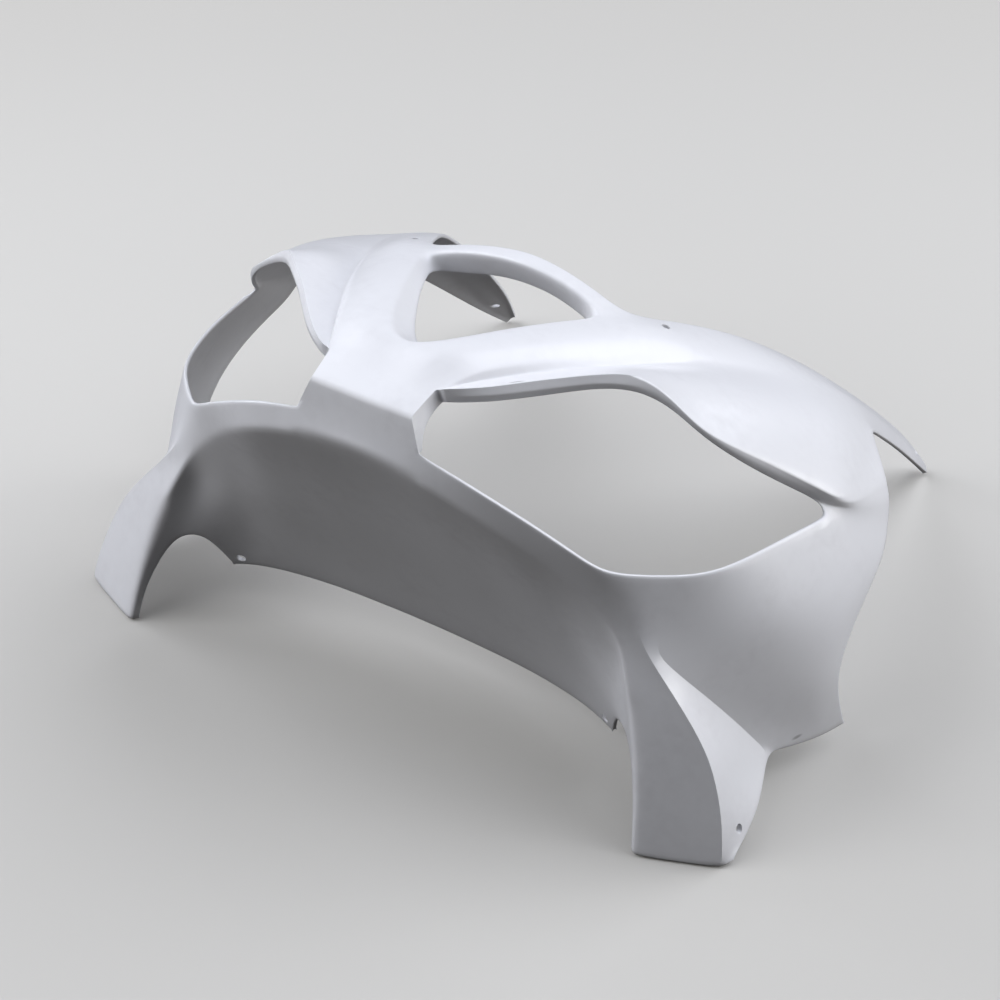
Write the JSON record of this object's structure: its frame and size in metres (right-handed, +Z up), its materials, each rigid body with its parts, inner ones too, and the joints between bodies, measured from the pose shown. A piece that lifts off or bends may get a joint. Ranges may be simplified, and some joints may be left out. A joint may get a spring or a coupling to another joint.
{
  "type": "motorcycle nose fairing",
  "caption": "Gloss white one-piece motorcycle nose fairing: thin moulded shell with headlight openings, screen seat, front legs, side panels and tails.",
  "frame": {"origin": "on the floor under the middle of the overall box", "axes": "+X to the rider's left when seen from the nose (image right), +Y to the rear, +Z up; the nose points to -Y"},
  "size_m": [0.522, 0.4572, 0.2767],
  "materials": {
    "gloss_shell": "gloss white moulded plastic"
  },
  "bodies": {
    "root": {"nose_fairing": "gloss_shell"}
  },
  "joints": []
}
